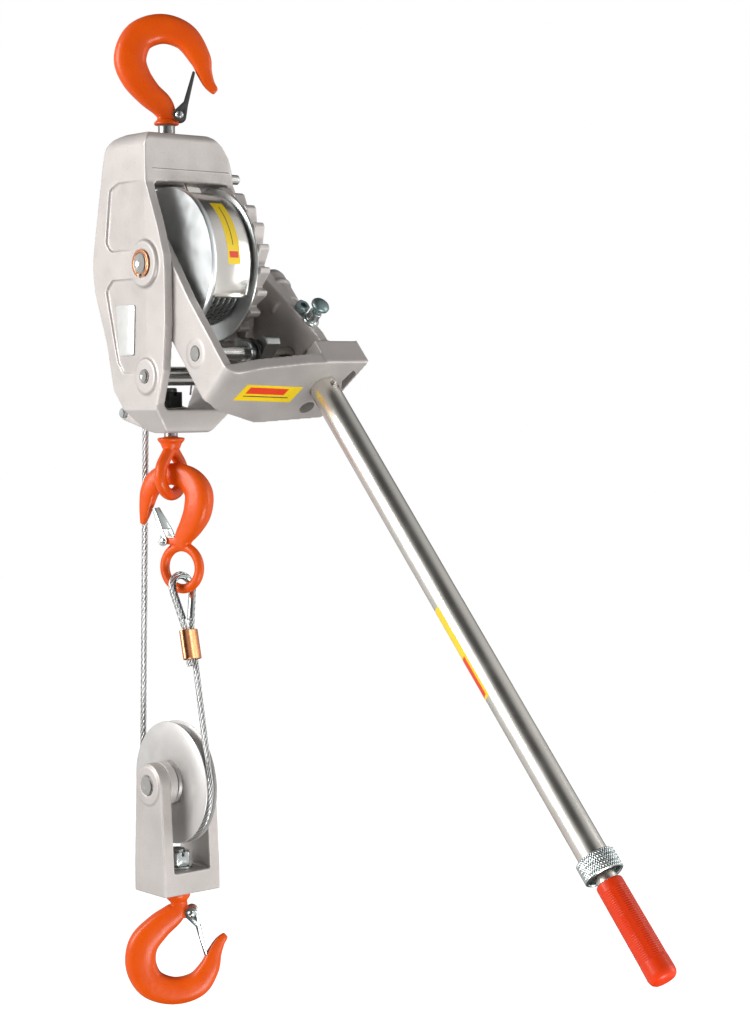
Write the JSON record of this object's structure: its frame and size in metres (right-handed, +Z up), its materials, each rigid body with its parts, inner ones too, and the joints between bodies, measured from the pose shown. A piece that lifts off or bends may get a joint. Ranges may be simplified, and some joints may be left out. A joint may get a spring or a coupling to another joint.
{
  "type": "come along winch",
  "caption": "Hand ratchet cable hoist: cast frame with a ratchet drum, pawls, long telescoping handle, swivel top hook and a sheave block with a hook on a wire rope.",
  "frame": {"origin": "saddle of the top hook, where the hoist hangs from its bar", "axes": "+Z up along the hang line, +X along the drum axle towards the handle side, -Y towards the side on which the handle swings"},
  "size_m": [0.171, 0.6407, 0.9699],
  "materials": {
    "cast_aluminium": "sand-cast, matte, fine grain",
    "orange_enamel": "orange enamel over forged steel",
    "zinc_plate": "zinc plated, semi-bright",
    "bright_steel": "bare bright steel",
    "dark_steel": "black oxide",
    "wire_rope": "galvanised six-strand wire rope",
    "copper": "swaged copper, dull",
    "orange_vinyl": "soft vinyl",
    "plate_metal": "plain brushed tag",
    "bronze": "bronze, worn"
  },
  "bodies": {
    "top_hook": {"top_hook": "orange_enamel", "top_hook_nut": "dark_steel", "top_latch_pin": "zinc_plate"},
    "frame": {"main_frame": "cast_aluminium", "rating_plate": "plate_metal", "drum_shaft": "zinc_plate", "drum_shaft_ring": "bronze", "drum_shaft_end_ring": "dark_steel", "cross_shaft": "bright_steel", "cross_shaft_sleeve": "bright_steel", "keeper_rod": "bright_steel", "fairlead_pin": "zinc_plate", "arm_spacer": "bright_steel", "holding_pawl_spring": "bright_steel", "top_hook_washer": "bright_steel", "anchor_eye_washer": "zinc_plate", "rope_fall_left": "wire_rope", "rope_fall_right": "wire_rope"},
    "top_latch": {"top_latch": "dark_steel"},
    "handle": {"handle_yoke": "cast_aluminium", "pawl_shaft": "bright_steel", "pawl_washer": "zinc_plate", "drive_pawl_spring": "dark_steel", "socket_nut": "zinc_plate", "handle_pin": "bright_steel", "handle_tube": "zinc_plate", "plunger_sleeve": "zinc_plate", "plunger_lock_nut": "dark_steel"},
    "drive_pawl": {"drive_pawl": "dark_steel"},
    "plunger": {"plunger_knob": "zinc_plate"},
    "collar": {"handle_collar": "zinc_plate"},
    "extension": {"extension_tube": "zinc_plate", "grip": "orange_vinyl"},
    "holding_pawl": {"holding_pawl": "dark_steel"},
    "drum": {"drum_core": "cast_aluminium", "left_flange": "zinc_plate", "right_flange": "zinc_plate", "ratchet_wheel": "cast_aluminium", "rope_on_drum": "wire_rope"},
    "keeper": {"keeper_band": "bright_steel"},
    "anchor": {"anchor_eye": "orange_enamel", "anchor_eye_nut": "dark_steel", "cable_hook": "orange_enamel", "cable_latch_pin": "zinc_plate", "rope_loop": "wire_rope", "thimble": "zinc_plate", "rope_sleeve": "copper"},
    "cable_latch": {"cable_latch": "zinc_plate"},
    "block": {"block_frame": "cast_aluminium", "sheave_pin": "bright_steel", "sheave_washer_left": "bright_steel", "sheave_washer_right": "bright_steel", "rope_in_sheave": "wire_rope", "block_hook_washer": "zinc_plate"},
    "sheave": {"sheave": "cast_aluminium", "sheave_bushing": "bronze"},
    "block_hook": {"block_hook": "orange_enamel", "block_hook_nut": "zinc_plate", "block_latch_pin": "zinc_plate"},
    "block_latch": {"block_latch": "zinc_plate"}
  },
  "joints": [
    {"name": "frame_swivel", "type": "hinge", "parent": "top_hook", "child": "frame", "pos_m": [0, 0, -0.08], "axis": [0, 0, 1], "continuous": true},
    {"name": "top_latch_hinge", "type": "hinge", "parent": "top_hook", "child": "top_latch", "pos_m": [0.01036, -0.00752, -0.0694], "axis": [0.5878, 0.809, 0], "range_deg": [-25, 0], "stiffness_Nm_per_rad": 0.05, "springref_deg": 20.05},
    {"name": "handle_swing", "type": "hinge", "parent": "frame", "child": "handle", "pos_m": [0, -0.036, -0.215], "axis": [1, 0, 0], "range_deg": [-100, 12]},
    {"name": "drive_pawl_hinge", "type": "hinge", "parent": "handle", "child": "drive_pawl", "pos_m": [0, -0.10202, -0.30084], "axis": [1, 0, 0], "range_deg": [-18, 3], "stiffness_Nm_per_rad": 1.5},
    {"name": "plunger_slide", "type": "slide", "parent": "handle", "child": "plunger", "axis": [0, -0.7455, 0.6665], "range_m": [0, 0.008], "stiffness_N_per_m": 400, "springref_m": -0.004},
    {"name": "collar_twist", "type": "hinge", "parent": "handle", "child": "collar", "pos_m": [0.0768, -0.49591, -0.72938], "axis": [0, -0.6665, -0.7455], "range_deg": [0, 60]},
    {"name": "extension_slide", "type": "slide", "parent": "handle", "child": "extension", "axis": [0, -0.6665, -0.7455], "range_m": [0, 0.3]},
    {"name": "holding_pawl_hinge", "type": "hinge", "parent": "frame", "child": "holding_pawl", "pos_m": [0, -0.036, -0.321], "axis": [1, 0, 0], "range_deg": [-22, 5], "stiffness_Nm_per_rad": 1.5},
    {"name": "drum_spin", "type": "hinge", "parent": "frame", "child": "drum", "pos_m": [0, -0.036, -0.215], "axis": [1, 0, 0], "range_deg": [0, 81.8]},
    {"name": "keeper_hinge", "type": "hinge", "parent": "frame", "child": "keeper", "pos_m": [0, -0.028, -0.13], "axis": [1, 0, 0], "range_deg": [-12, 0]},
    {"name": "anchor_swivel", "type": "hinge", "parent": "frame", "child": "anchor", "pos_m": [0, 0, -0.36], "axis": [0, 0, 1], "range_deg": [-4, 3]},
    {"name": "cable_latch_hinge", "type": "hinge", "parent": "anchor", "child": "cable_latch", "pos_m": [-0.00195, 0.00567, -0.481], "axis": [0.9455, 0.3256, 0], "range_deg": [0, 35], "stiffness_Nm_per_rad": 0.05, "springref_deg": -20.05},
    {"name": "block_lift", "type": "slide", "parent": "frame", "child": "block", "axis": [0, 0, 1], "range_m": [0, 0.0441], "deforming": ["rope_fall_left", "rope_fall_right"]},
    {"name": "sheave_spin", "type": "hinge", "parent": "block", "child": "sheave", "pos_m": [0, 0, -0.718], "axis": [1, 0, 0], "range_deg": [0, 44.3]},
    {"name": "block_hook_swivel", "type": "hinge", "parent": "block", "child": "block_hook", "pos_m": [0, 0, -0.825], "axis": [0, 0, 1], "continuous": true},
    {"name": "block_latch_hinge", "type": "hinge", "parent": "block_hook", "child": "block_latch", "pos_m": [0.01092, -0.00794, -0.848], "axis": [0.5878, 0.809, 0], "range_deg": [0, 35], "stiffness_Nm_per_rad": 0.05, "springref_deg": -20.05}
  ],
  "couplings": [
    {"joint": "block_lift", "follows": "drum_spin", "m_per_rad": 0.030887},
    {"joint": "sheave_spin", "follows": "drum_spin", "ratio": 0.54094}
  ]
}
